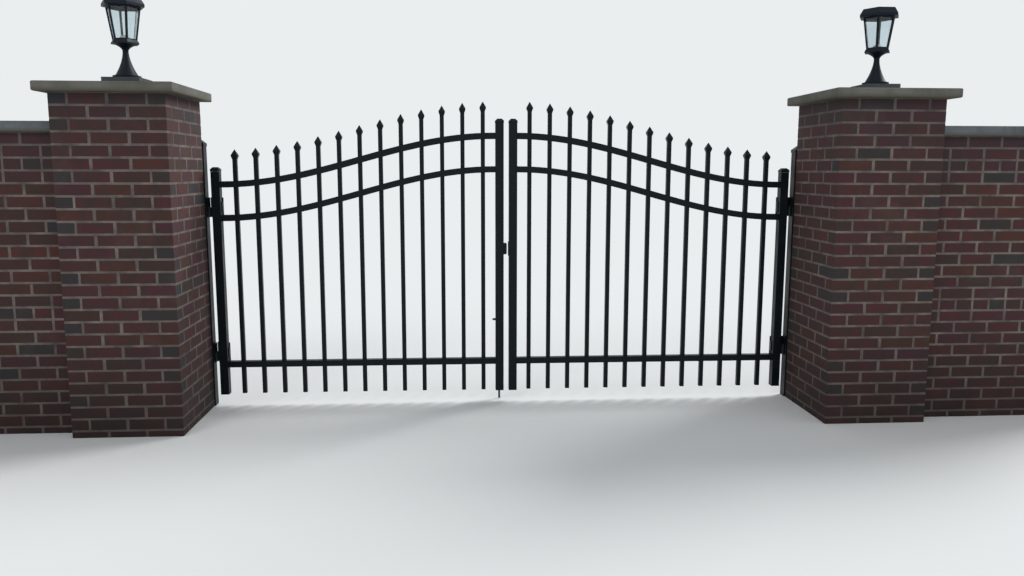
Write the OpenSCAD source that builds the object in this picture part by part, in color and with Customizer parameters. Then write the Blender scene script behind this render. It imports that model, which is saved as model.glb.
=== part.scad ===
// Double-leaf driveway gate with arched tops and spear pickets, hung on steel
// posts between two brick piers that carry lanterns, with a length of brick
// wing wall on each side.  Millimetres, +Z up, +X along the gate, -Y towards
// the street.  The origin is at ground level, in the middle of the bounding box.

/* [Opening and piers] */

// Clear width between the two piers (12 ft)
opening = 3657.6; // [2400:0.1:4600]
// Side of the square brick piers (three bricks)
pier_side = 600; // [400:1:900]
// Height of one brick course with its joint
course = 67.733; // [55:0.001:90]
// Full courses in a pier
pier_courses = 27; // [20:1:34]
// Part of the lowest course that stands out of the ground
pier_foot = 38; // [10:1:60]
// How far the cast stone cap stands out past the brick
cap_overhang = 54; // [20:1:90]
// Thickness of the pier cap
cap_thick = 51; // [35:1:90]
// Chamfer round the top and bottom edges of the caps and copings
stone_chamfer = 5; // [2:0.5:12]

/* [Wing walls] */

// Length of wall beyond each pier (six bricks)
wall_length = 1219.2; // [400:0.1:2400]
// Thickness of the wall (two bricks side by side)
wall_thick = 194; // [90:1:300]
// Distance of the wall's face behind the pier's face
wall_setback = 100; // [20:1:250]
// Courses in the wall, under its coping
wall_courses = 24; // [12:1:26]
// Thickness of the wall coping
coping_thick = 57; // [35:1:90]
// How far the coping stands out past the wall
coping_overhang = 32; // [10:1:60]

/* [Hinge posts] */

// Side of the square steel post behind each pier
post_side = 63.5; // [50:0.5:100]
// Wall of the post tube
post_wall = 4.8; // [3:0.1:8]
// How far the post shows past the pier's inner face
post_show = 6; // [2:0.5:60]
// Height of the left-hand post tube
left_post_height = 1605; // [1350:1:2000]
// Height of the right-hand post tube
right_post_height = 1578; // [1350:1:2000]
// How far the post cap stands out past its tube
post_cap_lip = 3; // [1:0.5:6]
// Skirt of the post cap
post_cap_skirt = 18; // [8:1:40]
// Rise of the post cap's pyramid
post_cap_rise = 27; // [10:1:60]
// Half the width of the flat on top of the pyramid
post_cap_tip = 5; // [2:0.5:12]

/* [Gate leaves] */

// Gap between the two latch stiles
centre_gap = 33; // [28:0.5:60]
// Gap between a hinge stile and its post
hinge_gap = 32; // [26:0.5:44]
// Height of the stiles' feet over the ground
leaf_lift = 69; // [30:1:150]
// Side of the square stiles
stile_side = 50.8; // [38:0.1:76]
// Wall of the stile tubes
stile_wall = 3; // [2:0.1:5]
// Side of the square pickets
picket_side = 25.4; // [16:0.1:32]
// Wall of the picket tubes
picket_wall = 1.6; // [1.2:0.1:3]
// Distance from one picket to the next
picket_pitch = 125.3; // [90:0.1:160]
// Distance from the latch stile's middle to the first picket's
picket_start = 102.6; // [60:0.1:120]
// Least distance from the last picket's middle to the hinge stile's
picket_end = 75; // [50:1:120]
// Height of the pickets' feet over the stiles' feet
picket_lift = 4; // [0:1:40]
// Height of the bottom rail's middle over the stiles' feet
bottom_rail_up = 191; // [80:1:230]
// Height of the lower arched rail's middle over the stiles' feet, at the hinges
arch_rail_up = 1104; // [900:1:1280]
// Distance between the two arched rails
arch_spacing = 204; // [120:1:300]
// Rise of the arched rails from the hinges to the middle
arch_rise = 298; // [150:1:450]
// Height of the spear tips over the upper rail's middle
tip_up = 208; // [120:1:300]
// Height of the stile caps' tops over the upper rail's middle
stile_up = 104; // [70:1:200]

/* [Rails and stile caps] */

// Height and depth of the channel rails
rail_side = 38.1; // [30:0.1:50]
// Thickness of the rails' metal
rail_wall = 2.8; // [1.5:0.1:4]
// Gap round a picket in its punched hole
hole_gap = 0.2; // [0.1:0.05:0.6]
// Straight lengths that make up one arched rail
arch_steps = 28; // [12:2:48]
// How far a stile cap stands out past its tube
stile_cap_lip = 1.5; // [0.5:0.5:4]
// Straight part of the stile cap
stile_cap_skirt = 13; // [6:1:25]
// Sloping part of the stile cap, drawn in as far as it rises
stile_cap_crown = 13; // [5:1:18]

/* [Spear points] */

// Width of the spear at its shoulders
spear_width = 39; // [28:0.5:50]
// Length from the tip to the shoulders
spear_point = 34; // [20:1:45]
// Height of the blunt band at the shoulders
spear_band = 7; // [3:0.5:12]
// Length from the tip to the plain tube
spear_length = 60; // [55:1:90]
// Width of the blunted tip
spear_flat = 1.6; // [1:0.1:4]

/* [Hinges] */

// Height of the lower hinge's middle over the stiles' feet
hinge_low = 262; // [255:1:420]
// Height of the upper hinge's middle over the stiles' feet
hinge_high = 1168; // [1165:1:1230]
// Height of one hinge
hinge_height = 120; // [90:1:140]
// Height of the cheek on the stile's inner side, which stays clear of the rails
hinge_grip = 66; // [40:1:80]
// Thickness of the bracket on the post
hinge_plate = 6; // [4:0.5:8]
// Length of each wing of that bracket
hinge_wing = 46; // [30:1:56]
// Thickness of the bracket on the leaf
leaf_plate = 5; // [3:0.5:7]
// How far that bracket reaches forward on the stile's outer side
hinge_wrap = 38; // [20:1:45]
// How far that bracket reaches forward on the stile's inner side
hinge_cheek = 25; // [15:1:40]
// Diameter of the hinge pin
pin_d = 14; // [10:0.5:16]
// How much shorter the pin is than the hinge
pin_short = 10; // [5:1:20]
// Diameter of the hinge barrel
barrel_d = 26; // [22:0.5:30]
// Distance of the pin's axis behind the stile's rear face
pivot_back = 32; // [30:0.5:45]
// Distance of the webs that carry the barrels from the pin's axis
web_off = 3; // [1:0.5:5]
// Radial running clearance of the pins and the drop rod
run_gap = 0.05; // [0.02:0.01:0.1]
// Gap between pieces that seat on each other
seat = 0.3; // [0.1:0.05:0.5]

/* [Latch] */

// Height of the latch's middle over the ground
latch_z = 978; // [700:1:1100]
// Height of the latch box
latch_height = 70; // [50:1:120]
// Depth of the latch box and its keeper from front to back
latch_depth = 40; // [28:1:50]
// Radius of the box's upper corner
latch_top_r = 5; // [2:0.5:8]
// Radius of the box's lower corner
latch_low_r = 9; // [4:0.5:12]
// Free gap between the latch box and the keeper
latch_gap = 9; // [8:0.5:14]
// Thickness of the keeper plate
keeper_thick = 4; // [3:0.5:6]
// Height of the keeper plate
keeper_height = 88; // [60:1:130]
// Width of the bolt's slot in the keeper
slot_width = 16; // [10:1:22]
// Height of the bolt's slot in the keeper
slot_height = 38; // [20:1:50]

/* [Drop rod] */

// Diameter of the drop rod
rod_d = 14; // [10:0.5:18]
// Distance of the rod's axis behind the stile's rear face
rod_back = 16; // [14:0.5:30]
// Height of the rod's handle over the ground
rod_handle_z = 520; // [400:1:700]
// Reach of the handle from the rod's axis to its rounded end
rod_handle_reach = 44; // [30:1:80]
// Height of the rod's tip over the ground when it is down
rod_tip_z = 3; // [2:0.5:10]
// Height of one rod guide
guide_height = 14; // [8:1:30]
// Metal round the rod in its guides
guide_wall = 7; // [4:0.5:10]
// Height of the lower guide over the stile's foot
guide_low_up = 45; // [37:1:90]

/* [Lantern pedestals] */

// How far the right-hand lantern stands outwards of its pier's middle
right_lantern_out = 30; // [0:1:60]
// Side of the stone plinth under a lantern
plinth_side = 202; // [160:1:260]
// Height of the plinth
plinth_h = 47; // [20:1:80]
// Radius of the pedestal's round foot
foot_plate_r = 74; // [66:1:90]
// Height of the round foot
foot_plate_h = 14; // [6:1:25]
// Radius at the bottom of the flare
flare_r = 61; // [50:1:64]
// Height of the flare from the foot to the neck
flare_h = 134; // [100:1:200]
// Radius of the neck
neck_r = 15.5; // [12:0.5:25]
// Radius at the top of the bowl
bowl_r = 60; // [45:1:64]
// Height of the bowl
bowl_h = 37; // [25:1:60]
// Radius over the corners of the flange under the body
flange_r = 77; // [75:1:95]
// Height of the flange's edge
flange_edge = 6; // [3:0.5:12]
// Height of the flange's slope up to the body
flange_slope = 16; // [8:1:30]

/* [Lantern bodies] */

// Radius over the corners of the glazed body at its foot
body_low_r = 68; // [60:1:74]
// Radius over the corners of the glazed body at its top
body_high_r = 96; // [80:1:104]
// Height of the glazed body
body_h = 177; // [100:1:220]
// Width of the metal on each side of a corner
body_bar = 8; // [5:0.5:12]
// Height of the metal under a pane
body_sill = 5; // [3:0.5:12]
// Height of the metal over a pane
body_band = 9; // [8:1:24]
// Thickness of the body's metal, at the corners
body_wall = 7; // [4:0.5:9]
// Thickness of the glass, at the corners
glass_thick = 3; // [2:0.5:5]
// Radius over the corners of the roof's eave
eave_r = 117; // [106:1:140]
// Height of the eave's upright lip
roof_lip = 15; // [6:1:25]
// Height of the slope from the lip to the flat top
roof_rise = 32; // [20:1:80]
// Radius over the corners of the flat top
crown_r = 97; // [90:1:104]
// Thickness of the roof's sheet
roof_sheet = 3; // [2:0.5:5]
// Radius of the lamp's foot
lamp_r = 34; // [29:1:40]
// Height of the lamp's foot
lamp_foot_h = 6; // [3:0.5:12]
// Radius of the lamp's dome
lamp_dome_r = 28; // [18:1:28]
// Height of the lamp's dome
lamp_dome_h = 20; // [10:1:40]

/* [Hidden] */

$fn = 48;

over = 1;   // how far a cutter passes the face that it opens

pier_height = pier_foot + pier_courses * course;
wall_height = pier_foot + wall_courses * course;
cap_side = pier_side + 2 * cap_overhang;
pier_x = opening / 2 + pier_side / 2;
wall_x = opening / 2 + pier_side;

// from the pier's front face backwards
post_mid = pier_side + seat + post_cap_lip + post_side / 2;   // the post's cap just clears the brick
pivot_mid = post_mid + stile_side / 2 + pivot_back;
depth_total = cap_overhang + pivot_mid + barrel_d / 2;
front_y = cap_overhang - depth_total / 2;   // the piers' front face
pier_y = front_y + pier_side / 2;
gate_y = front_y + post_mid;                // middle plane of posts and leaves
pivot_y = front_y + pivot_mid;

// outwards from the middle of the opening
post_in = opening / 2 - post_show;
leaf_out = post_in - hinge_gap;
leaf_in = centre_gap / 2;
pivot_x = post_in - hinge_gap / 2;
hinge_stile_x = leaf_out - stile_side / 2;
latch_stile_x = leaf_in + stile_side / 2;
rail_from = leaf_in + stile_side + seat;
rail_to = leaf_out - stile_side - seat;
picket_span = hinge_stile_x - latch_stile_x;
picket_count = floor((picket_span - picket_start - picket_end) / picket_pitch) + 1;
picket_first = latch_stile_x + picket_start;
picket_xs = [for (i = [0:picket_count - 1]) picket_first + i * picket_pitch];

// heights of the leaves' parts
bottom_rail_z = leaf_lift + bottom_rail_up;
lower_arch_z = leaf_lift + arch_rail_up;
upper_arch_z = lower_arch_z + arch_spacing;
stile_cap_h = stile_cap_skirt + stile_cap_crown;
picket_foot_z = leaf_lift + picket_lift;

// rise of the arch at x: level at both stiles, steepest half way
arch_run = rail_to - rail_from;
function arch_angle(x) = 180 * (x - rail_from) / arch_run;
function arch(x) = arch_rise * (1 + cos(arch_angle(x))) / 2;
function slope(x) = -arch_rise * sin(arch_angle(x)) * PI / 2 / arch_run;
function thick(x) = sqrt(1 + pow(slope(x), 2));

// the drop rod runs behind the left-hand latch stile
rod_x = -latch_stile_x;
rod_y = gate_y + stile_side / 2 + rod_back;
guide_top_z = rod_handle_z - rod_d / 2 - seat - guide_height;
guide_low_z = leaf_lift + guide_low_up;

// heights of the lanterns' parts over the top of the plinth
bowl_z = foot_plate_h + flare_h;
flange_z = bowl_z + bowl_h;
body_z = flange_z + flange_edge + flange_slope;
lantern_z = pier_height + cap_thick;

// distance of a lantern from the middle of the opening
function lantern_x(side) = pier_x + (side > 0 ? right_lantern_out : 0);

// radius over the corners of the glazed body at a height
function body_r(z) = body_low_r + (body_high_r - body_low_r) * z / body_h;

black = [0.075, 0.08, 0.085];
brick = [0.42, 0.25, 0.2];
stone = [0.76, 0.66, 0.5];
slate = [0.3, 0.31, 0.32];
pane = [0.82, 0.86, 0.86, 0.4];
white = [0.9, 0.89, 0.84];

// Shared forms

// everything is drawn for the right-hand side and mirrored for the left
module on_side(side) {
    if (side > 0) children();
    else mirror([1, 0, 0]) children();
}

// a block centred on X and Y, standing on z = 0
module block(x, y, z) {
    translate([-x / 2, -y / 2, 0]) cube([x, y, z]);
}

// a block with its top and bottom edges chamfered: two profiles that cross
module chamfered(x, y, z, c) {
    intersection() {
        rotate([90, 0, 0]) linear_extrude(y, center = true) chamfer_profile(x, z, c);
        rotate([90, 0, 90]) linear_extrude(x, center = true) chamfer_profile(y, z, c);
    }
}

module chamfer_profile(w, h, c) {
    polygon([[-w / 2 + c, 0], [w / 2 - c, 0], [w / 2, c], [w / 2, h - c],
        [w / 2 - c, h], [-w / 2 + c, h], [-w / 2, h - c], [-w / 2, c]]);
}

// an even-sided form whose half width over its flats follows [half width, height] steps
module many_sided(sides, steps) {
    n = len(steps);
    w = 2 * max([for (s = steps) s[0]]) / cos(180 / sides);
    outline = concat(steps, [for (i = [n - 1:-1:0]) [-steps[i][0], steps[i][1]]]);
    intersection_for (i = [0:sides / 2 - 1])
        rotate(i * 360 / sides) rotate([90, 0, 0]) linear_extrude(w, center = true) polygon(outline);
}

// a six-sided form with corners on the X axis, from [corner radius, height] steps
module six_sided(steps) {
    rotate(30) many_sided(6, [for (s = steps) [s[0] * cos(30), s[1]]]);
}

module square_tube(side, wall, h) {
    bore = side - 2 * wall;
    difference() {
        block(side, side, h);
        translate([0, 0, -over]) block(bore, bore, h + 2 * over);
    }
}

// points of an arc of radius r round (cx, cz) between two angles
function arc(cx, cz, r, from, to) =
    [for (i = [0:6]) let (a = from + (to - from) * i / 6) [cx + r * cos(a), cz + r * sin(a)]];

// Masonry

module pier(side) {
    color(brick) on_side(side) translate([pier_x, pier_y, 0]) block(pier_side, pier_side, pier_height);
}

module pier_cap(side) {
    color(stone) on_side(side) translate([pier_x, pier_y, pier_height])
        chamfered(cap_side, cap_side, cap_thick, stone_chamfer);
}

module wall(side) {
    color(brick) on_side(side)
        translate([wall_x, front_y + wall_setback, 0]) cube([wall_length, wall_thick, wall_height]);
}

module wall_coping(side) {
    color(stone) on_side(side)
        translate([wall_x + wall_length / 2, front_y + wall_setback + wall_thick / 2, wall_height])
            chamfered(wall_length, wall_thick + 2 * coping_overhang, coping_thick, stone_chamfer);
}

// one square stone under each lantern
module lantern_plinths() {
    color(slate) for (side = [-1, 1])
        translate([side * lantern_x(side), pier_y, lantern_z]) block(plinth_side, plinth_side, plinth_h);
}

// Lanterns

module at_lantern(side, z) {
    on_side(side) translate([lantern_x(side), pier_y, lantern_z + plinth_h + seat + z]) children();
}

// round foot, flare, neck and bowl in one turning, under a six-sided flange
module lantern_pedestal(side) {
    flare = [for (i = [0:10]) let (t = i / 10)
        [neck_r + (flare_r - neck_r) * pow(1 - t, 1.8), foot_plate_h + flare_h * t]];
    bowl = [for (i = [1:8]) let (t = i / 8)
        [neck_r + (bowl_r - neck_r) * pow(t, 2), bowl_z + bowl_h * t]];
    color(black) at_lantern(side, 0) union() {
        rotate_extrude() polygon(concat([[0, 0], [foot_plate_r, 0], [foot_plate_r, foot_plate_h]],
            flare, bowl, [[bowl_r, flange_z + over], [0, flange_z + over]]));
        translate([0, 0, flange_z])
            six_sided([[flange_r, 0], [flange_r, flange_edge], [body_low_r, flange_edge + flange_slope]]);
    }
}

// the tapered body between two of its heights, set in from its outside
module body_form(from, to, inset) {
    translate([0, 0, from]) six_sided([[body_r(from) - inset, 0], [body_r(to) - inset, to - from]]);
}

// opening for one pane, tapered like the side that it is cut in
module pane_opening() {
    foot = body_sill;
    head = body_h - seat - body_band;
    half_low = body_r(foot) / 2 - body_bar;
    half_high = body_r(head) / 2 - body_bar;
    translate([body_low_r / 2, 0, 0]) rotate([90, 0, 90]) linear_extrude(body_high_r)
        polygon([[-half_low, foot], [half_low, foot], [half_high, head], [-half_high, head]]);
}

module lantern_cage(side) {
    color(black) at_lantern(side, body_z) difference() {
        body_form(seat, body_h - seat, 0);
        body_form(-over, body_h + over, body_wall);
        for (a = [30:60:330]) rotate(a) pane_opening();
    }
}

// one six-sided shade of glass just inside the bars
module lantern_glass(side) {
    inset = body_wall + 2 * seat;
    color(pane) at_lantern(side, body_z) difference() {
        body_form(seat, body_h - seat, inset);
        body_form(-over, body_h + over, inset + glass_thick);
    }
}

// sheet roof with an upright lip, a slope and a flat top, hollow underneath
module lantern_roof(side) {
    top = roof_lip + roof_rise;
    mouth = body_high_r - body_wall;
    color(black) at_lantern(side, body_z + body_h) difference() {
        six_sided([[eave_r, 0], [eave_r, roof_lip], [crown_r, top]]);
        six_sided([[mouth, -over], [mouth, roof_lip], [crown_r - 2 * roof_sheet, top - roof_sheet]]);
    }
}

// low lamp with a domed lens on the floor of the body
module lantern_lamp(side) {
    dome = [for (i = [0:6]) [lamp_dome_r * cos(15 * i), lamp_foot_h + lamp_dome_h * sin(15 * i)]];
    color(white) at_lantern(side, body_z + seat) rotate_extrude()
        polygon(concat([[0, 0], [lamp_r, 0], [lamp_r, lamp_foot_h]], dome));
}

// Posts

function post_height(side) = side > 0 ? right_post_height : left_post_height;

module hinge_post(side) {
    color(black) on_side(side) translate([post_in + post_side / 2, gate_y, 0])
        square_tube(post_side, post_wall, post_height(side));
}

module post_cap(side) {
    half = post_side / 2 + post_cap_lip;
    color(black) on_side(side)
        translate([post_in + post_side / 2, gate_y, post_height(side) + seat])
            many_sided(4, [[half, 0], [half, post_cap_skirt],
                [post_cap_tip, post_cap_skirt + post_cap_rise]]);
}

// angle bracket round the post's rear inner corner, with a web, the lower barrel and the pin
module post_hinge() {
    corner_y = gate_y + post_side / 2;
    face_x = post_in - seat;
    half = hinge_height / 2;
    web_from = pivot_x + web_off;
    translate([face_x - hinge_plate, corner_y + seat + hinge_plate - hinge_wing, -half])
        cube([hinge_plate, hinge_wing, hinge_height]);
    translate([face_x - hinge_plate, corner_y + seat, -half])
        cube([hinge_wing, hinge_plate, hinge_height]);
    translate([web_from, corner_y + seat, -half])
        cube([face_x - web_from, pivot_y - corner_y - seat, half - seat]);
    translate([pivot_x, pivot_y, -half]) cylinder(d = barrel_d, h = half - seat);
    translate([pivot_x, pivot_y, -half]) cylinder(d = pin_d, h = hinge_height - pin_short);
}

module post_hinges(side) {
    color(black) on_side(side)
        for (z = [hinge_low, hinge_high]) translate([0, 0, leaf_lift + z]) post_hinge();
}

// Gate leaves

function stile_top(rail_z) = rail_z + stile_up - stile_cap_h;

module hinge_stile(side) {
    color(black) on_side(side) translate([hinge_stile_x, gate_y, leaf_lift])
        square_tube(stile_side, stile_wall, stile_top(upper_arch_z) - leaf_lift);
}

module latch_stile(side) {
    color(black) on_side(side) translate([latch_stile_x, gate_y, leaf_lift])
        square_tube(stile_side, stile_wall, stile_top(upper_arch_z + arch_rise) - leaf_lift);
}

module stile_caps(side) {
    half = stile_side / 2 + stile_cap_lip;
    color(black) on_side(side)
        for (p = [[hinge_stile_x, upper_arch_z], [latch_stile_x, upper_arch_z + arch_rise]])
            translate([p[0], gate_y, stile_top(p[1]) + seat]) many_sided(4, [[half, 0],
                [half, stile_cap_skirt - seat], [half - stile_cap_crown, stile_cap_h - seat]]);
}

// inverted channel from stile to stile, punched for the pickets
module rail(z, arched) {
    n = arched ? arch_steps : 1;
    function px(i) = rail_from + (rail_to - rail_from) * i / n;
    function edge(x, up) = z + (arched ? arch(x) + up * thick(x) : up);
    band_low = [for (i = [0:n]) [px(i), edge(px(i), -rail_side / 2)]];
    band_high = [for (i = [n:-1:0]) [px(i), edge(px(i), rail_side / 2)]];
    web_low = [for (i = [n:-1:0]) [px(i), edge(px(i), rail_side / 2 - rail_wall)]];
    deep = [for (i = [0:n]) [px(i), edge(px(i), -rail_side)]];
    hole = picket_side + 2 * hole_gap;
    translate([0, gate_y, 0]) difference() {
        rotate([90, 0, 0]) linear_extrude(rail_side, center = true) polygon(concat(band_low, band_high));
        rotate([90, 0, 0]) linear_extrude(rail_side - 2 * rail_wall, center = true)
            polygon(concat(deep, web_low));
        for (x = picket_xs) translate([x, 0, edge(x, -rail_side / 2)]) block(hole, hole, 2 * rail_side);
    }
}

module bottom_rail(side) {
    color(black) on_side(side) rail(bottom_rail_z, false);
}

module lower_arch_rail(side) {
    color(black) on_side(side) rail(lower_arch_z, true);
}

module upper_arch_rail(side) {
    color(black) on_side(side) rail(upper_arch_z, true);
}

// square tube drawn to a four-sided spear at its head, open at its foot
module picket(h) {
    half = picket_side / 2;
    bore = picket_side - 2 * picket_wall;
    difference() {
        many_sided(4, [[half, 0], [half, h - spear_length],
            [spear_width / 2, h - spear_point - spear_band], [spear_width / 2, h - spear_point],
            [spear_flat / 2, h]]);
        translate([0, 0, -over]) block(bore, bore, h - spear_length + over);
    }
}

module pickets(side) {
    color(black) on_side(side)
        for (x = picket_xs) translate([x, gate_y, picket_foot_z])
            picket(upper_arch_z + arch(x) + tip_up - picket_foot_z);
}

// bracket round the stile's rear half, with a web and the upper barrel, bored for the pin
module leaf_hinge() {
    rear_y = gate_y + stile_side / 2 + seat;
    inner_x = leaf_out - stile_side - seat - leaf_plate;
    half = hinge_height / 2;
    difference() {
        union() {
            translate([leaf_out + seat, rear_y - hinge_wrap, -half])
                cube([leaf_plate, hinge_wrap + leaf_plate, hinge_height]);
            translate([inner_x, rear_y, -half])
                cube([stile_side + 2 * seat + 2 * leaf_plate, leaf_plate, hinge_height]);
            translate([inner_x, rear_y - hinge_cheek, -hinge_grip / 2])
                cube([leaf_plate, hinge_cheek + leaf_plate, hinge_grip]);
            translate([leaf_out, rear_y, seat])
                cube([hinge_gap / 2 - web_off, pivot_y - rear_y, half - seat]);
            translate([pivot_x, pivot_y, seat]) cylinder(d = barrel_d, h = half - seat);
        }
        translate([pivot_x, pivot_y, -over])
            cylinder(d = pin_d + 2 * run_gap, h = half - pin_short + seat + over);
    }
}

module leaf_hinges(side) {
    color(black) on_side(side)
        for (z = [hinge_low, hinge_high]) translate([0, 0, leaf_lift + z]) leaf_hinge();
}

// Latch and drop rod

// box with rounded corners on the left-hand latch stile, in the gap between the leaves
module latch_box() {
    reach = centre_gap - keeper_thick - 2 * seat - latch_gap;
    color(black) translate([-leaf_in + seat, gate_y, latch_z - latch_height / 2])
        rotate([90, 0, 0]) linear_extrude(latch_depth, center = true) polygon(concat([[0, 0]],
            arc(reach - latch_low_r, latch_low_r, latch_low_r, -90, 0),
            arc(reach - latch_top_r, latch_height - latch_top_r, latch_top_r, 0, 90),
            [[0, latch_height]]));
}

// plate on the right-hand latch stile, slotted for the bolt
module latch_keeper() {
    color(black) translate([leaf_in - seat - keeper_thick / 2, gate_y, latch_z]) difference() {
        translate([0, 0, -keeper_height / 2]) block(keeper_thick, latch_depth, keeper_height);
        translate([0, 0, -slot_height / 2]) block(keeper_thick + 2 * over, slot_width, slot_height);
    }
}

// two bored blocks on the rear face of the left-hand latch stile
module drop_rod_guides() {
    w = rod_d + 2 * guide_wall;
    rear_y = gate_y + stile_side / 2 + seat;
    color(black) for (z = [guide_low_z, guide_top_z]) difference() {
        translate([rod_x - w / 2, rear_y, z]) cube([w, rod_y - rear_y + w / 2, guide_height]);
        translate([rod_x, rod_y, z - over])
            cylinder(d = rod_d + 2 * run_gap, h = guide_height + 2 * over);
    }
}

// upright rod with its handle bent towards the pickets
module drop_rod() {
    straight = rod_handle_reach - rod_d / 2;
    color(black) union() {
        translate([rod_x, rod_y, rod_tip_z]) cylinder(d = rod_d, h = rod_handle_z - rod_tip_z);
        translate([rod_x, rod_y, rod_handle_z]) sphere(d = rod_d);
        translate([rod_x, rod_y, rod_handle_z]) rotate([0, -90, 0]) cylinder(d = rod_d, h = straight);
        translate([rod_x - straight, rod_y, rod_handle_z]) sphere(d = rod_d);
    }
}

// Nodes

pier(-1);  // left_pier
pier(1);  // right_pier
pier_cap(-1);  // left_pier_cap
pier_cap(1);  // right_pier_cap
wall(-1);  // left_wall
wall(1);  // right_wall
wall_coping(-1);  // left_wall_coping
wall_coping(1);  // right_wall_coping
lantern_plinths();
lantern_pedestal(-1);  // left_lantern_pedestal
lantern_pedestal(1);  // right_lantern_pedestal
lantern_cage(-1);  // left_lantern_cage
lantern_cage(1);  // right_lantern_cage
lantern_glass(-1);  // left_lantern_glass
lantern_glass(1);  // right_lantern_glass
lantern_roof(-1);  // left_lantern_roof
lantern_roof(1);  // right_lantern_roof
lantern_lamp(-1);  // left_lantern_lamp
lantern_lamp(1);  // right_lantern_lamp
hinge_post(-1);  // left_hinge_post
hinge_post(1);  // right_hinge_post
post_cap(-1);  // left_post_cap
post_cap(1);  // right_post_cap
post_hinges(-1);  // left_post_hinges
post_hinges(1);  // right_post_hinges
hinge_stile(-1);  // left_hinge_stile
hinge_stile(1);  // right_hinge_stile
latch_stile(-1);  // left_latch_stile
latch_stile(1);  // right_latch_stile
stile_caps(-1);  // left_stile_caps
stile_caps(1);  // right_stile_caps
bottom_rail(-1);  // left_bottom_rail
bottom_rail(1);  // right_bottom_rail
lower_arch_rail(-1);  // left_lower_arch_rail
lower_arch_rail(1);  // right_lower_arch_rail
upper_arch_rail(-1);  // left_upper_arch_rail
upper_arch_rail(1);  // right_upper_arch_rail
pickets(-1);  // left_pickets
pickets(1);  // right_pickets
leaf_hinges(-1);  // left_leaf_hinges
leaf_hinges(1);  // right_leaf_hinges
latch_box();
latch_keeper();
drop_rod_guides();
drop_rod();
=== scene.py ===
# %% [markdown]
# # A double-leaf driveway gate between brick piers
#
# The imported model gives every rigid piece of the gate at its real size.  This
# lesson dresses it: bricks and mortar take the place of the plain pier and wall
# blocks, bolts hold the hinges, and each metal, stone and glass piece gets the
# finish that the real one has.  All lengths are metres, +Z is up and -Y is the
# street side.

# %% Load the frame
import bpy, math, random
from mathutils import Matrix, Vector


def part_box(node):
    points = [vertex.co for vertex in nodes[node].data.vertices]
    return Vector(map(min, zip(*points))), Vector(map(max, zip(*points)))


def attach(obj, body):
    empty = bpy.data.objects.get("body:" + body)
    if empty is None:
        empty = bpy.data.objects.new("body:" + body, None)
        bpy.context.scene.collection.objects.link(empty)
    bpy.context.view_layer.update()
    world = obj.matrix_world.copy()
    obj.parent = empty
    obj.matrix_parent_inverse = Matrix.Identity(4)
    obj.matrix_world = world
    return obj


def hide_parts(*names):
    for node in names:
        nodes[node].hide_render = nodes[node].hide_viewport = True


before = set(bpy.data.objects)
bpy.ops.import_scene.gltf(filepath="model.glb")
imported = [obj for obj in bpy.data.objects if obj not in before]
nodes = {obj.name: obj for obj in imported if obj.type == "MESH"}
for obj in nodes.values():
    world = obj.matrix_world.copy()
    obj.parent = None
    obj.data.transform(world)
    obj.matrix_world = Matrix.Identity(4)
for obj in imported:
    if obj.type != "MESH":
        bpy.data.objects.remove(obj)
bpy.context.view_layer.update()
SIDES = ("left", "right")

# %% [markdown]
# ## Small helpers
#
# Blender works with linear colour, while a paint chart gives sRGB, so one
# function turns a hex value to linear.  A second one adds a shader node with
# its settings, links and colour stops, so that each material below reads as a
# short recipe.

# %% Colour and node helpers
def srgb(hex_value):
    parts = [int(hex_value[i:i + 2], 16) / 255 for i in (0, 2, 4)]
    linear = [c / 12.92 if c <= 0.04045 else ((c + 0.055) / 1.055) ** 2.4 for c in parts]
    return (*linear, 1.0)


def put(tree, kind, settings=None, links=None, stops=()):
    """Adds a node, sets its properties, sockets and colour stops, and links its inputs."""
    node = tree.nodes.new("ShaderNode" + kind)
    for key, value in (settings or {}).items():
        if isinstance(key, str) and hasattr(node, key):
            setattr(node, key, value)
        else:
            node.inputs[key].default_value = value
    for key, source in (links or {}).items():
        tree.links.new(source, node.inputs[key])
    for count, (place, value) in enumerate(stops):
        elements = node.color_ramp.elements
        if count == 0:
            elements.remove(elements[1])
        element = elements.new(place) if count else elements[0]
        element.position, element.color = place, srgb(value)
    return node


def new_material(name):
    material = bpy.data.materials.new(name)
    material.use_nodes = True
    material.node_tree.nodes.clear()
    return material, material.node_tree


print("mid grey in linear light:", round(srgb("808080")[0], 3))

# %% [markdown]
# ## Flashed face brick
#
# The piers are laid in clay bricks that were flashed in the kiln: most are dark
# red-brown, some purple, some olive-brown, and a few nearly charcoal.  Their
# faces are matt and slightly sandy, so they catch the light softly.  A Brick
# Texture node could draw them all on a flat block, but its joints would have no
# depth and wouldn't meet at the corners.  Here each brick is a shape of its own
# and carries a random number in a mesh attribute, so one material can give
# every brick its own tone.  Noise on the object's coordinates then clouds it
# with darker flashing and with the pale bloom that salts leave.
#
# Brick and mortar alike are dark with damp and splashed dirt at the foot.  Under
# the stone that covers them they are darker too, which is painted shade from
# the stone's overhang.  The soft clay soaks up more of the damp than the dense
# mortar does.

# %% Damp foot and painted shade under the stone
DAMP_HIGH = 0.62                  # height over the floor that damp and dirt reach
BRICK_SOAKS = 0.68                # how much of a brick's colour the damp takes away at the foot
MORTAR_SOAKS = 0.4                # the same for mortar
PAINTED_SHADE_LOW = 0.34                   # how far the painted shade reaches down from the stone
PAINTED_SHADE_SHARE = 0.3                  # how much of the colour it takes away right under the stone


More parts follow.
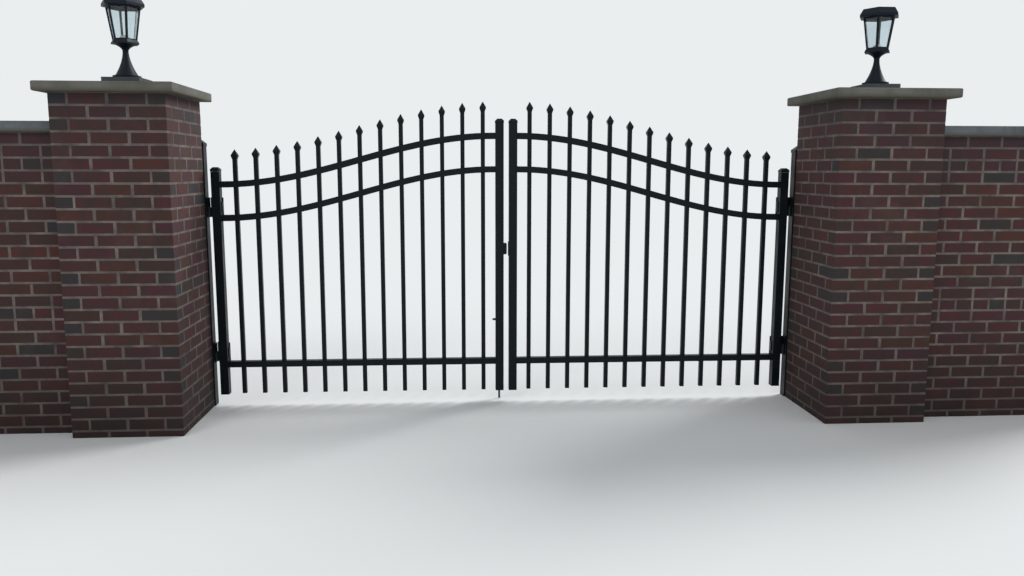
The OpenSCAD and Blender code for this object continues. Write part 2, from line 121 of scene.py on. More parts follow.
def darkened(tree, distance, reach, most, noise, colour, stain_or_shade):
    """Colour mixed to a stain or a painted shade that fades out, unevenly, over a distance from an edge."""
    # the noise is a half on average, so the mask starts at twice the share that is wanted
    near = put(tree, "MapRange", {"From Min": reach, "From Max": 0.0, "To Max": most * 2},
               {"Value": distance})
    uneven = put(tree, "Math", {"operation": "MULTIPLY"}, {0: near.outputs[0], 1: noise})
    overlaid = put(tree, "Mix", {"data_type": "RGBA", 7: srgb(stain_or_shade)},
                  {0: uneven.outputs[0], 6: colour})
    return overlaid.outputs[2]


def weathered_and_shaded(tree, place, noise, colour, soaks):
    """Colour darkened by damp from the foot up and by painted shade from the stone down."""
    height = put(tree, "SeparateXYZ", links={"Vector": place}).outputs["Z"]
    under_stone = put(tree, "Attribute", {"attribute_name": "under_stone"}).outputs["Fac"]
    damp = darkened(tree, height, DAMP_HIGH, soaks, noise, colour, "1d1916")
    # painted shade under the stone, a cool dark grey that fades out downwards
    return darkened(tree, under_stone, PAINTED_SHADE_LOW, PAINTED_SHADE_SHARE, noise, damp, "2a2f37")


# the second figure is how far the painted shade reaches down
print("damp reaches", DAMP_HIGH, "m up, soot", PAINTED_SHADE_LOW, "m down")

# %% Brick material
TONE_SHIFT = 37.0                 # what a tone is multiplied by, to pick the brick's own clouds


def brick_material():
    material, tree = new_material("flashed_clay_brick")
    place = put(tree, "TexCoord").outputs["Object"]
    tone = put(tree, "Attribute", {"attribute_name": "brick_tone"}).outputs["Fac"]
    shift = put(tree, "Math", {"operation": "MULTIPLY", 1: TONE_SHIFT}, {0: tone}).outputs[0]
    base = put(tree, "ValToRGB", links={"Fac": tone}, stops=[
        (0.0, "2f3135"), (0.08, "37302f"), (0.15, "3f2c29"), (0.4, "4c2a2b"),
        (0.65, "46282f"), (0.85, "4f2d28"), (1.0, "432d28")])
    # clouds of darker flashing, 80 mm across with mottles down to 2 mm, different on each brick
    cloud = put(tree, "TexNoise",
                {"noise_dimensions": "4D", "Scale": 12.0, "Detail": 6.0, "Roughness": 0.65},
                {"Vector": place, "W": shift})
    cloud_mask = put(tree, "MapRange", {"From Min": 0.42, "From Max": 0.66, "To Max": 0.75},
                     {"Value": cloud.outputs["Fac"]})
    flashed = put(tree, "Mix", {"data_type": "RGBA", 7: srgb("332e2b")},
                  {0: cloud_mask.outputs[0], 6: base.outputs["Color"]})
    # bloom from salts in the wall, in patches 250 mm across
    bloom = put(tree, "TexNoise", {"Scale": 4.0, "Detail": 6.0, "Roughness": 0.65}, {"Vector": place})
    bloom_mask = put(tree, "MapRange", {"From Min": 0.55, "From Max": 0.8, "To Max": 0.12},
                     {"Value": bloom.outputs["Fac"]})
    bloomed = put(tree, "Mix", {"data_type": "RGBA", 7: srgb("837c78")},
                  {0: bloom_mask.outputs[0], 6: flashed.outputs[2]})
    # sand grains of 1 to 3 mm, coarser than the real ones so that they show
    grain = put(tree, "TexNoise", {"Scale": 320.0, "Detail": 2.0}, {"Vector": place}).outputs["Fac"]
    grain_mask = put(tree, "MapRange", {"From Min": 0.52, "From Max": 0.75, "To Max": 0.3},
                     {"Value": grain})
    sanded = put(tree, "Mix", {"data_type": "RGBA", 7: srgb("66504a")},
                 {0: grain_mask.outputs[0], 6: bloomed.outputs[2]})
    # damp at the foot and painted shade under the stone
    aged_and_shaded = weathered_and_shaded(tree, place, bloom.outputs["Fac"], sanded.outputs[2], BRICK_SOAKS)
    # shallow dents and the grain on top of them
    dents = put(tree, "Bump", {"Strength": 0.7, "Distance": 0.003}, {"Height": cloud.outputs["Fac"]})
    bump = put(tree, "Bump", {"Strength": 0.8, "Distance": 0.0014},
               {"Height": grain, "Normal": dents.outputs[0]})
    shader = put(tree, "BsdfPrincipled", {"Roughness": 0.88, "Specular IOR Level": 0.3},
                 {"Base Color": aged_and_shaded, "Normal": bump.outputs[0]})
    put(tree, "OutputMaterial", links={"Surface": shader.outputs[0]})
    return material


brick_clay = brick_material()
print("mixed", brick_clay.name)

# %% [markdown]
# ## Cement mortar
#
# The joints are struck nearly flush in grey cement mortar.  It is paler than
# the bricks, so the bond reads from far away, and the sand in it leaves it
# rough and without any gloss.  One even grey would look like plastic, so noise
# mixes damp and dry patches.  The same damp foot darkens it as the bricks, and
# the same painted shade under the stone.

# %% Mortar material
def mortar_material():
    material, tree = new_material("grey_cement_mortar")
    place = put(tree, "TexCoord").outputs["Object"]
    # damp and dry patches, 100 mm across and broken up
    blotch = put(tree, "TexNoise", {"Scale": 10.0, "Detail": 6.0, "Roughness": 0.62}, {"Vector": place})
    base = put(tree, "ValToRGB", links={"Fac": blotch.outputs["Fac"]},
               stops=[(0.3, "504a48"), (0.5, "6a625e"), (0.7, "827871")])
    # sand of 2 mm, coarser than the real sand so that it shows
    sand = put(tree, "TexNoise", {"Scale": 450.0, "Detail": 2.0}, {"Vector": place})
    bump = put(tree, "Bump", {"Strength": 0.7, "Distance": 0.001}, {"Height": sand.outputs["Fac"]})
    # damp at the foot and painted shade under the stone
    aged_and_shaded = weathered_and_shaded(tree, place, blotch.outputs["Fac"], base.outputs["Color"], MORTAR_SOAKS)
    shader = put(tree, "BsdfPrincipled", {"Roughness": 0.95, "Specular IOR Level": 0.2},
                 {"Base Color": aged_and_shaded, "Normal": bump.outputs[0]})
    put(tree, "OutputMaterial", links={"Surface": shader.outputs[0]})
    return material


mortar_mix = mortar_material()
print("mixed", mortar_mix.name)

# %% [markdown]
# ## One brick
#
# The bricks are about 190 by 90 by 57 mm, with thick joints, so that three
# courses rise 203 mm.  One is modelled, as a cube at its own size with a small
# bevel on every edge, where handling has rounded the arrises, and it is then
# copied to each place in the bond.  The bevel has one step, because rounder
# arrises would cost many faces on every brick and show on none of them.

# %% Model the brick
BRICK = Vector((0.190, 0.0905, 0.057))        # length, width and height
HEAD_JOINT = 0.015                # mortar between the ends of two bricks
COURSE = 0.067733                 # height of a course with its bed joint
MODULE = BRICK.x + HEAD_JOINT     # one stretcher with its joint
MORTAR_BACK = 0.0015              # how far the joints lie behind the faces
ARRIS = 0.0015                    # width of the bevel on a brick's edges
KILN_SEED = 27                    # starts the random numbers, so that each run gives the same bricks
random.seed(KILN_SEED)


def deselect():
    bpy.ops.object.select_all(action="DESELECT")


def face_brick():
    deselect()
    bpy.ops.mesh.primitive_cube_add(size=1)
    brick = bpy.context.object
    brick.scale = BRICK
    bpy.ops.object.transform_apply(location=False, rotation=False, scale=True)
    bevel = brick.modifiers.new("arris", "BEVEL")
    bevel.width, bevel.segments = ARRIS, 1
    bpy.ops.object.modifier_apply(modifier=bevel.name)
    brick.data.materials.append(brick_clay)
    return brick


whole_brick = face_brick()
brick_mm = [round(length * 1000) for length in BRICK]
print("one brick:", brick_mm, "mm,", len(whole_brick.data.polygons), "faces")

# %% [markdown]
# ## Laying the bond
#
# Each copy of the brick gets a place, a size and its own tone, and some have
# ends that the flame of the kiln has blackened.  No two bricks are quite the
# same, so each is up to 2 mm short, is turned by a hair, and lies a little
# inside the true face, as a bricklayer leaves it.  An Array modifier would copy
# them faster, but all alike.  The mortar could be a strip in every joint, but
# one block just behind the faces shows the same joints.  All of it is joined to
# one piece that takes the place of the plain CAD block.

# %% Laying helpers
LENGTH_PLAY = 0.0020              # most that a brick is shorter than its size
HEIGHT_PLAY = 0.0010              # most that it is lower
FACE_PLAY = (0.0003, 0.0010)      # how far its face lies inside the true face
SKEW = math.radians(0.12)         # most that it is turned on its bed
DARK_TONE = 0.12                  # end of the charcoal part of the brick's colours
DARK_BODIES = 0.04                # share of bricks that are charcoal all over
DARK_ENDS = 0.4                   # share of bricks whose ends are charcoal
FACING = 0.9                      # a face looks along an axis if that part of its normal is larger


def lay_brick(place, size, turned):
    copy = whole_brick.copy()
    copy.data = whole_brick.data.copy()
    bpy.context.collection.objects.link(copy)
    copy.location = place
    copy.rotation_euler.z = (math.pi / 2 if turned else 0) + random.uniform(-SKEW, SKEW)
    short = Vector((random.uniform(0, LENGTH_PLAY), 0, random.uniform(0, HEIGHT_PLAY)))
    copy.scale = [wanted / whole for wanted, whole in zip(Vector(size) - short, BRICK)]
    dark, plain = random.uniform(0, DARK_TONE), random.uniform(DARK_TONE, 1)
    body = dark if random.random() < DARK_BODIES else plain
    end = dark if random.random() < DARK_ENDS else body
    tones = [end if abs(face.normal.x) > FACING else body for face in copy.data.polygons]
    copy.data.attributes.new("brick_tone", "FLOAT", "FACE").data.foreach_set("value", tones)
    return copy


def mortar_core(low, high):
    """The block of mortar that fills the inside, up to just behind the bricks' faces."""
    inset = Vector((MORTAR_BACK, MORTAR_BACK, 0))
    low, high = Vector(low) + inset, Vector(high) - inset
    deselect()
    bpy.ops.mesh.primitive_cube_add(size=1, location=(low + high) / 2)
    block = bpy.context.object
    block.scale = high - low
    bpy.ops.object.transform_apply(location=True, rotation=False, scale=True)
    # the same attribute as the bricks have, for the join
    block.data.attributes.new("brick_tone", "FLOAT", "FACE")
    block.data.materials.append(mortar_mix)
    return block


def join_pieces(name, pieces):
    deselect()
    for piece in pieces:
        piece.select_set(True)
    bpy.context.view_layer.objects.active = pieces[0]
    bpy.ops.object.join()
    joined = bpy.context.object
    bpy.ops.object.transform_apply(location=True, rotation=True, scale=True)
    joined.name = joined.data.name = name
    return joined


def build_up(node, bricks):
    """Joins the bricks and their mortar to the piece that replaces a CAD node."""
    low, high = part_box(node)
    work = join_pieces(node + "_brickwork", [mortar_core(low, high)] + bricks)
    # how far each corner lies under the stone, for the painted shade there
    depths = [high[2] - vertex.co.z for vertex in work.data.vertices]
    work.data.attributes.new("under_stone", "FLOAT", "POINT").data.foreach_set("value", depths)
    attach(work, "piers")
    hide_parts(node)
    print(work.name, len(bricks), "bricks,", len(work.data.polygons), "faces")


def course_rows(low, high):
    """Middle and brick height of each course, counted down from the top to the floor."""
    rows, top, bed = [], high, COURSE - BRICK.z
    while top - COURSE > low:
        rows.append((top - COURSE / 2, BRICK.z))
        top -= COURSE
    left_over = top - bed / 2 - low
    return rows + [(low + left_over / 2, left_over)]


print("courses in a pier:", len(course_rows(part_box("left_pier")[0][2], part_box("left_pier")[1][2])))

# %% [markdown]
# ## The piers
#
# A pier is three bricks square.  One course has three stretchers on two
# opposite faces and two between them on each of the others, and the next is
# turned by 90 degrees, so every face shows a half-brick bond with headers at
# its corners in every other course.  The top course has its headers on the
# front.  Only this outer ring is laid, because nothing shows the inside.

# %% Lay both piers
def lay_pier(node):
    low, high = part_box(node)
    middle = ((low[0] + high[0]) / 2, (low[1] + high[1]) / 2)
    ring = (high[0] - low[0] - BRICK.y) / 2       # middle of the outer ring of bricks
    long_run, short_run = (-MODULE, 0, MODULE), (-MODULE / 2, MODULE / 2)
    bricks = []
    for row, (z, height) in enumerate(course_rows(low[2], high[2])):
        for turned in (True, False):
            long_side = turned == (row % 2 == 0)
            for sign in (-1, 1):
                for step in long_run if long_side else short_run:
                    across = sign * (ring - random.uniform(*FACE_PLAY))
                    x, y = (across, step) if turned else (step, across)
                    spot = (middle[0] + x, middle[1] + y, z)
                    bricks.append(lay_brick(spot, (BRICK.x, BRICK.y, height), turned))
    build_up(node, bricks)


for side in SIDES:
    lay_pier(side + "_pier")

# %% [markdown]
# ## The wing walls
#
# The walls are two bricks thick in common bond: stretchers with half-brick
# laps, and a course of headers right through the wall third from the top and
# again twelve courses lower.  Each course starts against its pier and ends
# flush at the outer end of the wall, where the last brick is cut to fit.  Its
# bricks are listed first and laid after, so that both faces get the same bond.

# %% Lay both walls
HEADER_EVERY = 12                 # courses from one row of headers to the next
FIRST_HEADERS = 2                 # courses over the highest row of headers
END_PLAY = 0.0005                 # how far the last brick stays inside the wall's end


def wall_course(row, length):
    """Middle and length along the wall of each brick of a course, counted from the pier."""
    count = round(length / MODULE)
    step = length / count
    if row % HEADER_EVERY == FIRST_HEADERS:
        run = [(step / 2 * (i + 0.5), BRICK.y) for i in range(2 * count)]
    elif row % 2 == 0:
        run = [(step * (i + 0.5), BRICK.x) for i in range(count)]
    else:
        run = [(step / 4, BRICK.y)] + [(step * i, BRICK.x) for i in range(1, count)]
        run.append((length - step / 4, BRICK.y))
    centre, size = run[-1]
    spare = length - END_PLAY - centre - size / 2
    run[-1] = (centre + spare / 2, size + spare)
    return run


def lay_wall(node, away):
    low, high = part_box(node)
    start = low[0] if away > 0 else high[0]       # where the wall meets its pier
    thick = high[1] - low[1]
    bricks = []
    for row, (z, height) in enumerate(course_rows(low[2], high[2])):
        for centre, size in wall_course(row, high[0] - low[0]):
            x = start + away * centre
            if row % HEADER_EVERY == FIRST_HEADERS:
                through = thick - 2 * FACE_PLAY[0]
                bricks.append(lay_brick((x, low[1] + thick / 2, z), (through, size, height), True))
                continue
            for sign in (-1, 1):
                y = low[1] + thick / 2 + sign * ((thick - BRICK.y) / 2 - random.uniform(*FACE_PLAY))
                bricks.append(lay_brick((x, y, z), (size, BRICK.y, height), False))
    build_up(node, bricks)


lay_wall("left_wall", -1)
lay_wall("right_wall", 1)
bpy.data.objects.remove(whole_brick)

# %% [markdown]
# ## Cast stone
#
# The caps and copings are cast stone, a fine concrete that is rammed into a
# mould to look like limestone.  Weather has washed its skin away, which leaves
# a matt face of small hollows and pores.  It is greyed and blotched, rain has
# run down it in faint streaks, algae stains its lower edge olive-brown, and
# lichen grows on its upper side.  Stains could be painted on an image, but
# noise needs none and stays sharp from near by.  A stain that lies along the
# foot of the stone needs that height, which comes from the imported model.

# %% Cast stone material
ALGAE_HIGH = 0.025                # how far algae reaches up from the stone's foot


def cast_stone_material(name, foot, blotches):
    material, tree = new_material(name)
    place = put(tree, "TexCoord").outputs["Object"]
    # blotches of 200 mm that break down to 10 mm
    cloud = put(tree, "TexNoise", {"Scale": 4.5, "Detail": 5.0, "Roughness": 0.6}, {"Vector": place})
    base = put(tree, "ValToRGB", links={"Fac": cloud.outputs["Fac"]}, stops=blotches)
    # streaks where rain runs off: noise 40 mm wide, stretched up and down
    tall = put(tree, "Mapping", {"Scale": (24.0, 24.0, 1.6)}, {"Vector": place})
    streak = put(tree, "TexNoise", {"Scale": 1.0, "Detail": 3.0}, {"Vector": tall.outputs[0]})
    streak_mask = put(tree, "MapRange", {"From Min": 0.52, "From Max": 0.76, "To Max": 0.3},
                      {"Value": streak.outputs["Fac"]})
    streaked = put(tree, "Mix", {"data_type": "RGBA", 7: srgb("4b4a43")},
                   {0: streak_mask.outputs[0], 6: base.outputs["Color"]})
    # algae along the foot, thicker where the noise is high
    height = put(tree, "SeparateXYZ", links={"Vector": place})
    low_edge = put(tree, "MapRange", {"From Min": foot + ALGAE_HIGH, "From Max": foot, "To Max": 1.5},
                   {"Value": height.outputs["Z"]})
    patchy = put(tree, "Math", {"operation": "MULTIPLY"}, {0: low_edge.outputs[0], 1: cloud.outputs["Fac"]})
    overlaid = put(tree, "Mix", {"data_type": "RGBA", 7: srgb("4f4a39")},
                  {0: patchy.outputs[0], 6: streaked.outputs[2]})
    # lichen in spots of 18 mm on the faces that look up
    upward = put(tree, "SeparateXYZ", links={"Vector": put(tree, "NewGeometry").outputs["Normal"]})
    spots = put(tree, "TexNoise", {"Scale": 55.0, "Detail": 3.0}, {"Vector": place})
    spot_mask = put(tree, "MapRange", {"From Min": 0.5, "From Max": 0.62}, {"Value": spots.outputs["Fac"]})
    lichen = put(tree, "Math", {"operation": "MULTIPLY", "use_clamp": True},
                 {0: upward.outputs["Z"], 1: spot_mask.outputs[0]})
    grown = put(tree, "Mix", {"data_type": "RGBA", 7: srgb("5c5d50")},
                {0: lichen.outputs[0], 6: overlaid.outputs[2]})
    # a washed-out face: hollows where the spots are, and pores of 4 mm in them
    hollows = put(tree, "Bump", {"Strength": 0.6, "Distance": 0.006}, {"Height": spots.outputs["Fac"]})
    pores = put(tree, "TexNoise", {"Scale": 260.0, "Detail": 3.0}, {"Vector": place})
    bump = put(tree, "Bump", {"Strength": 0.6, "Distance": 0.0015},
               {"Height": pores.outputs["Fac"], "Normal": hollows.outputs[0]})
    shader = put(tree, "BsdfPrincipled", {"Roughness": 0.9, "Specular IOR Level": 0.25},
                 {"Base Color": grown.outputs[2], "Normal": bump.outputs[0]})
    put(tree, "OutputMaterial", links={"Surface": shader.outputs[0]})
    return material


print("algae reaches", ALGAE_HIGH, "m up the stone")

# %% Dress the stone
def give(material, *names):
    for name in names:
        slots = nodes[name].data.materials
        slots.clear()
        slots.append(material)
    print(material.name, "on", len(names), "nodes")


# colour stops from the dark to the pale blotches
TAN_GREY = [(0.25, "515049"), (0.45, "61605b"), (0.62, "6d6c67"), (0.8, "787772")]
BLUE_GREY = [(0.25, "4c5053"), (0.45, "5e6366"), (0.62, "6a6f73"), (0.8, "767b7f")]
SLATE_GREY = [(0.25, "454a4d"), (0.45, "52575a"), (0.62, "5b6063"), (0.8, "666b6e")]
for name, blotches in (("pier_cap", TAN_GREY), ("wall_coping", BLUE_GREY)):
    stone = cast_stone_material("weathered_cast_stone_" + name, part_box("left_" + name)[0][2], blotches)
    give(stone, *[f"{side}_{name}" for side in SIDES])
plinth_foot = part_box("lantern_plinths")[0][2]
give(cast_stone_material("slate_grey_cast_stone", plinth_foot, SLATE_GREY), "lantern_plinths")

# %% [markdown]
# ## Powder coat
#
# The gate, posts and lanterns are steel and aluminium under a satin black
# powder coat: plastic powder that is sprayed on and melted to a thin skin, with
# a faint orange peel and a little dust.  On so dark a finish it is the gloss
# that shows the edges of the bars.  One even roughness would look newly made,
# so the dust dulls it in patches.  The lanterns' coat is rougher.  The blue
# tint in both colours is painted sky light on the black coat, stronger on the
# lanterns.

# %% Powder coat material
def powder_coat_material(name, base_hex, dust_hex, roughness, dust):
    material, tree = new_material(name)
    place = put(tree, "TexCoord").outputs["Object"]
    # dust in clouds of 100 mm
    cloud = put(tree, "TexNoise", {"Scale": 9.0, "Detail": 5.0}, {"Vector": place})
    dust_mask = put(tree, "MapRange", {"From Min": 0.5, "From Max": 0.8, "To Max": dust},
                    {"Value": cloud.outputs["Fac"]})
    colour = put(tree, "Mix", {"data_type": "RGBA", 6: srgb(base_hex), 7: srgb(dust_hex)},
                 {0: dust_mask.outputs[0]})
    dull = put(tree, "MapRange", {"From Min": 0.3, "From Max": 0.75, "To Min": roughness - 0.06,
                                  "To Max": roughness + 0.14}, {"Value": cloud.outputs["Fac"]})
    # orange peel, drawn at 2 mm so that it shows
    peel = put(tree, "TexNoise", {"Scale": 420.0, "Detail": 1.0}, {"Vector": place})
    bump = put(tree, "Bump", {"Strength": 0.18, "Distance": 0.0004}, {"Height": peel.outputs["Fac"]})
    shader = put(tree, "BsdfPrincipled", {"Specular IOR Level": 0.16},
                 {"Base Color": colour.outputs[2], "Roughness": dull.outputs[0], "Normal": bump.outputs[0]})
    put(tree, "OutputMaterial", links={"Surface": shader.outputs[0]})
    return material


# base colours: black with a blue tint of painted sky light, stronger on the lanterns
gate_coat = powder_coat_material("satin_black_powder_coat", "091318", "22282b", 0.42, 0.2)
lantern_coat = powder_coat_material("textured_black_powder_coat", "0c1822", "263038", 0.5, 0.25)
steel_nodes = [name for name in nodes if not any(word in name for word in ("pier", "wall", "lantern"))]
give(gate_coat, *steel_nodes)
give(lantern_coat, *[f"{side}_lantern_{part}" for side in SIDES for part in ("pedestal", "cage", "roof")])

# %% [markdown]
# ## The worn drop rod
#
# The rod had the same coat, but it slides in its two guides, and there the coat
# is rubbed down to grey steel.  Edge wear from the shape alone wouldn't know of
# the guides.  The rubbed lengths follow from the guides' heights and the
# travel, so a ramp along the height of the rod carries them, with soft ends.

# %% Rod material
WHOLE_COAT, WORN_COAT = "000000", "b4b4b4"    # how far the coat is rubbed away, as a grey
RUB_FADE = 0.01                   # length over which the rubbing starts and ends


def rod_material(rubbed_lengths):
    """The lengths are heights, from and to.  All are under 1 m, so they are places on the ramp."""
    material, tree = new_material("rubbed_black_steel")
    place = put(tree, "TexCoord").outputs["Object"]
    height = put(tree, "SeparateXYZ", links={"Vector": place})
    stops = [(0.0, WHOLE_COAT)]
    for start, end in rubbed_lengths:
        stops += [(start, WHOLE_COAT), (start + RUB_FADE, WORN_COAT)]
        stops += [(end - RUB_FADE, WORN_COAT), (end, WHOLE_COAT)]
    rubbed = put(tree, "ValToRGB", links={"Fac": height.outputs["Z"]}, stops=stops)
    # scratches along the rod, 1 mm wide
    tall = put(tree, "Mapping", {"Scale": (900.0, 900.0, 12.0)}, {"Vector": place})
    scratch = put(tree, "TexNoise", {"Scale": 1.0, "Detail": 2.0}, {"Vector": tall.outputs[0]})
    patchy = put(tree, "Math", {"operation": "MULTIPLY"},
                 {0: rubbed.outputs["Color"], 1: scratch.outputs["Fac"]})
    colour = put(tree, "Mix", {"data_type": "RGBA", 6: srgb("12181b"), 7: srgb("8b8d8f")},
                 {0: patchy.outputs[0]})
    bump = put(tree, "Bump", {"Strength": 0.2, "Distance": 0.0003}, {"Height": scratch.outputs["Fac"]})
    shader = put(tree, "BsdfPrincipled", {"Roughness": 0.4},
                 {"Base Color": colour.outputs[2], "Metallic": patchy.outputs[0],
                  "Normal": bump.outputs[0]})
    put(tree, "OutputMaterial", links={"Surface": shader.outputs[0]})
    return material


ROD_TRAVEL = 0.1                  # how far the rod lifts
GUIDE_HEIGHT = 0.014              # height of the collar of each guide
lowest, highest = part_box("drop_rod_guides")
rubs = [(foot - ROD_TRAVEL, foot + GUIDE_HEIGHT) for foot in (lowest[2], highest[2] - GUIDE_HEIGHT)]
give(rod_material(rubs), "drop_rod")
print("rubbed from", [f"{start:.3f} to {end:.3f}" for start, end in rubs])

# %% [markdown]
# ## Lantern glass and lamp
#
# The panes are clear rolled glass with a faint ripple.  A see-through mix would
# show what is behind them but no thickness, so they get full transmission and
# the IOR of glass, which bends and mirrors the view as a real pane does.
#
# A low lamp stands on the floor of each lantern, with a domed lens moulded from
# opal acrylic.  Light goes a little way into it and comes out softened, which
# is what the subsurface setting does.

# %% Glass and lens materials
def pane_material():
    material, tree = new_material("clear_rolled_glass")
    place = put(tree, "TexCoord").outputs["Object"]
    # ripple of 15 mm from the rollers
    ripple = put(tree, "TexNoise", {"Scale": 70.0, "Detail": 2.0}, {"Vector": place})
    bump = put(tree, "Bump", {"Strength": 0.12, "Distance": 0.001}, {"Height": ripple.outputs["Fac"]})
    shader = put(tree, "BsdfPrincipled", {"Base Color": srgb("e6eff2"), "Roughness": 0.04, "IOR": 1.45,
                                          "Transmission Weight": 1.0}, {"Normal": bump.outputs[0]})
    put(tree, "OutputMaterial", links={"Surface": shader.outputs[0]})
    return material


def lens_material():
    material, tree = new_material("opal_acrylic_lens")
    place = put(tree, "TexCoord").outputs["Object"]
    # frosting of 5 mm, with a little dirt in it
    frost = put(tree, "TexNoise", {"Scale": 180.0, "Detail": 2.0}, {"Vector": place})
    base = put(tree, "ValToRGB", links={"Fac": frost.outputs["Fac"]},
               stops=[(0.3, "d3d0c6"), (0.7, "e8e6de")])
    shader = put(tree, "BsdfPrincipled", {"Roughness": 0.35, "IOR": 1.49, "Subsurface Weight": 0.1,
                                          "Subsurface Scale": 0.01}, {"Base Color": base.outputs["Color"]})
    put(tree, "OutputMaterial", links={"Surface": shader.outputs[0]})
    return material


give(pane_material(), *[side + "_lantern_glass" for side in SIDES])
give(lens_material(), *[side + "_lantern_lamp" for side in SIDES])

# %% [markdown]
# ## Hinge bolts
#
# The hinge brackets are bolted through the stiles and the posts.  A bolt is a
# six-sided head on a round washer.  Both start as cylinders; the head's outer
# face is inset and pushed out, which gives the chamfer of a real head, and a
# bevel rounds the washer.  The thread is inside the steel, so it isn't made.
# One bolt is modelled and copied to each hole.

# %% Model the bolt
HEAD_ACROSS = 0.015               # over the corners of the head
HEAD_HIGH = 0.0055
CHAMFER = 0.0009                  # width of the chamfer round the head's outer face
WASHER_ACROSS = 0.021
WASHER_HIGH = 0.0018


def pick_faces(piece, chosen):
    """Selects in edit mode the faces that the test picks out."""
    bpy.ops.object.mode_set(mode="EDIT")
    bpy.ops.mesh.select_mode(type="FACE")
    bpy.ops.mesh.select_all(action="DESELECT")
    bpy.ops.object.mode_set(mode="OBJECT")
    for face in piece.data.polygons:
        face.select = chosen(face)
    bpy.ops.object.mode_set(mode="EDIT")


def bolt():
    """A bolt that stands on the plane y = 0 and points along +Y, away from it."""
    deselect()
    bpy.ops.mesh.primitive_cylinder_add(vertices=24, radius=WASHER_ACROSS / 2, depth=WASHER_HIGH,
                                        location=(0, 0, WASHER_HIGH / 2))
    washer = bpy.context.object
    bevel = washer.modifiers.new("rounded", "BEVEL")
    bevel.width, bevel.segments = WASHER_HIGH / 4, 2
    bpy.ops.object.modifier_apply(modifier=bevel.name)
    deselect()
    bpy.ops.mesh.primitive_cylinder_add(vertices=6, radius=HEAD_ACROSS / 2, depth=HEAD_HIGH,
                                        location=(0, 0, WASHER_HIGH + HEAD_HIGH / 2))
    head = bpy.context.object
    pick_faces(head, lambda face: face.normal.z > FACING)
    bpy.ops.mesh.inset(thickness=CHAMFER, depth=CHAMFER / 2)
    bpy.ops.object.mode_set(mode="OBJECT")
    head.data.materials.append(gate_coat)
    washer.data.materials.append(gate_coat)
    whole = join_pieces("bolt", [washer, head])
    spanner_turn = random.uniform(0, 1)           # radians that the head was left turned
    whole.rotation_euler = (-math.pi / 2, spanner_turn, 0)
    bpy.ops.object.transform_apply(location=False, rotation=True, scale=False)
    return whole


one_bolt = bolt()
print("bolt stands", round(max(v.co.y for v in one_bolt.data.vertices) * 1000, 1), "mm proud")

# %% [markdown]
# ## Bolts in their holes
#
# Each bracket takes two bolts, one over the other, on its rear face.  Their
# places come from the boxes of the posts, stiles and brackets in the packed
# model, and the bolts of each pair of brackets are joined to one piece that
# hangs on its body.

# %% Set the bolts
LEAF_PLATE, POST_PLATE = 0.005, 0.006   # thickness of the brackets on stile and post
SEAT = 0.0003                           # gap between a bracket and what it is bolted to
BOLT_APART = 0.038                      # height of a bolt over or under a bracket's middle
HINGE_HIGH = 0.12                       # height of a bracket


def bolts_at(node, carrier, plate):
    """Two bolts on the rear of both brackets of a node, on the middle line of what carries them."""
    low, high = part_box(carrier)
    foot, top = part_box(node)[0][2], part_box(node)[1][2]
    rear = high[1] + SEAT + plate
    copies = []
    for middle in (foot + HINGE_HIGH / 2, top - HINGE_HIGH / 2):
        for step in (-BOLT_APART, BOLT_APART):
            copy = one_bolt.copy()
            copy.data = one_bolt.data.copy()
            bpy.context.collection.objects.link(copy)
            copy.location = ((low[0] + high[0]) / 2, rear, middle + step)
            copies.append(copy)
    return copies


def fix_bolts(name, body, copies):
    piece = join_pieces(name, copies)
    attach(piece, body)
    print(name, len(copies), "bolts, rear at", round(max(v.co.y for v in piece.data.vertices), 4))


for side in SIDES:
    on_leaf = bolts_at(side + "_leaf_hinges", side + "_hinge_stile", LEAF_PLATE)
    fix_bolts(side + "_leaf_bolts", side + "_leaf", on_leaf)
    on_post = bolts_at(side + "_post_hinges", side + "_hinge_post", POST_PLATE)
    fix_bolts(side + "_post_bolts", "piers", on_post)
bpy.data.objects.remove(one_bolt)

# %% [markdown]
# ## Floor and light
#
# The gate stands on a plain pale floor, lit as on a dull day.  Light comes from
# the whole sky, a soft lamp at the front left opens up the faces, and a
# stronger one behind on the right brightens the same sides as in the
# photograph.  Area lamps would fall off along a gate of seven metres, so both
# are sun lamps, and their very wide discs keep the shadows soft.

# %% Lamps
SKY_LIGHT = 0.50                  # strength of the light from the sky
SUN_DISC = math.radians(24)       # how wide each lamp's disc looks from the gate
# where each lamp shines from, and its strength
LAMPS = {"front_light": ((-0.5, -1.0, 0.8), 0.5), "back_light": ((1.2, 0.7, 1.0), 2.6)}
from_lamps = 0.0                  # what the lamps add to the light on the floor
for name, (source, strength) in LAMPS.items():
    data = bpy.data.lights.new(name, "SUN")
    data.energy, data.angle = strength, SUN_DISC
    lamp = bpy.data.objects.new(name, data)
    bpy.context.collection.objects.link(lamp)
    lamp.rotation_euler = Vector(source).to_track_quat("Z", "Y").to_euler()
    from_lamps += strength / math.pi * Vector(source).normalized().z
print("light on the floor:", round(SKY_LIGHT + from_lamps, 2))

# %% [markdown]
# ## A floor without a horizon
#
# A curved backdrop would hide the horizon too, but only from the front.  Here
# what the camera, a gloss or a pane sees of the sky is the colour that the far
# floor shows, so no horizon runs behind the bars from any side.  That colour is
# the floor's own, times all the light that falls on it.

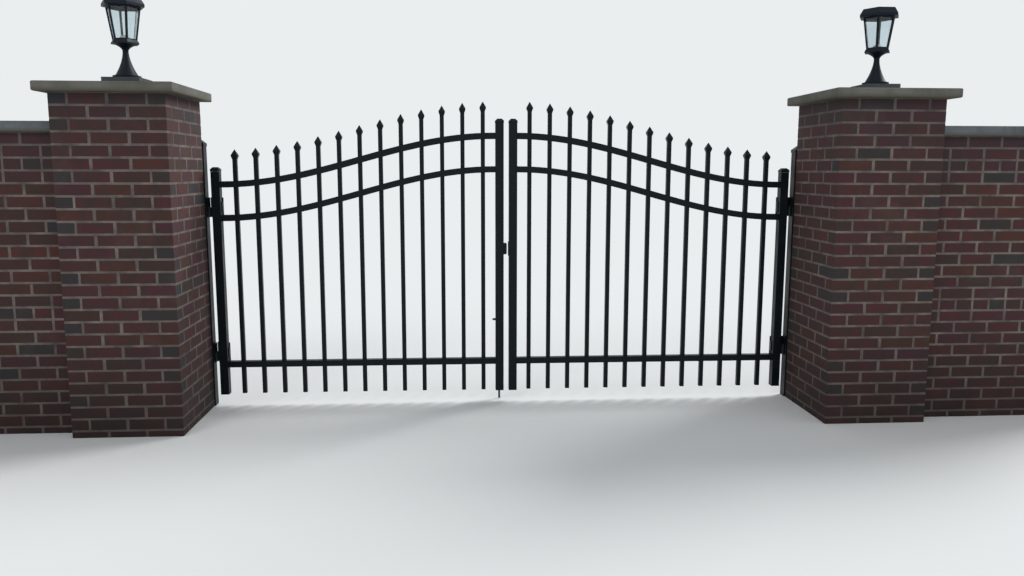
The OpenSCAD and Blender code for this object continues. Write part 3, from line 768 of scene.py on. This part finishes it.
# %% Floor and sky
SKY, FLOOR = srgb("f3f6f9"), srgb("e8eaea")
FLOOR_WIDE = 200                  # so far that its edges are out of sight
FLOOR_DROP = 0.001                # keeps the floor clear of the undersides of the piers
far_floor = [paint * (SKY_LIGHT * sky + from_lamps) for paint, sky in zip(FLOOR, SKY)]
material, tree = new_material("pale_floor_paint")
matt = put(tree, "BsdfPrincipled", {"Roughness": 0.9, "Specular IOR Level": 0.0, "Base Color": FLOOR})
put(tree, "OutputMaterial", links={"Surface": matt.outputs[0]})
deselect()
bpy.ops.mesh.primitive_plane_add(size=FLOOR_WIDE, location=(0, 0, -FLOOR_DROP))
floor = bpy.context.object
floor.name = "floor"
floor.data.materials.append(material)

world = bpy.data.worlds.new("studio_sky")
bpy.context.scene.world = world
world.use_nodes = True
tree = world.node_tree
tree.nodes.clear()
path = put(tree, "LightPath")
looked = put(tree, "Math", {"operation": "MAXIMUM"},
             {0: path.outputs["Is Camera Ray"], 1: path.outputs["Is Glossy Ray"]})
seen = put(tree, "Math", {"operation": "MAXIMUM"},
           {0: looked.outputs[0], 1: path.outputs["Is Transmission Ray"]})
light = put(tree, "Background", {"Color": SKY, "Strength": SKY_LIGHT})
backdrop = put(tree, "Background", {"Color": far_floor})
shown = put(tree, "MixShader", links={0: seen.outputs[0], 1: light.outputs[0], 2: backdrop.outputs[0]})
put(tree, "OutputWorld", links={"Surface": shown.outputs[0]})
print("the far floor shows as", [round(part, 2) for part in far_floor[:3]], "in linear light")

# %% [markdown]
# ## The photograph's view
#
# The camera stands at eye height before the gate, a little left of the middle,
# and looks slightly down.  Its place, turn and focal length come from a fit of
# the model's edges to the photograph.  A camera could be aimed with a Track To
# constraint, but that leaves no room for roll, so it is turned in three steps:
# about the upright axis, then the tilt, and last the slight roll.

# %% Camera
PHOTO_WIDTH = 1024                # pixels across the photograph
FOCAL_PIXELS = 832.2              # focal length in those pixels
SENSOR_WIDTH = 36.0               # mm
EYE = (-0.3123, -4.8978, 1.4681)  # place of the camera
YAW, PITCH, ROLL = math.radians(3.845), math.radians(8.085), math.radians(0.10)
camera_data = bpy.data.cameras.new("photo_view")
camera = bpy.data.objects.new("photo_view", camera_data)
bpy.context.collection.objects.link(camera)
camera_data.sensor_width = SENSOR_WIDTH
camera_data.lens = FOCAL_PIXELS / PHOTO_WIDTH * SENSOR_WIDTH
camera.location = EYE
level = Matrix.Rotation(-YAW, 4, "Z") @ Matrix.Rotation(math.pi / 2 - PITCH, 4, "X")
camera.rotation_euler = (level @ Matrix.Rotation(ROLL, 4, "Z")).to_euler()
bpy.context.scene.camera = camera
bpy.context.scene.view_settings.view_transform = "Standard"
print("camera focal length", round(camera_data.lens, 2), "mm")
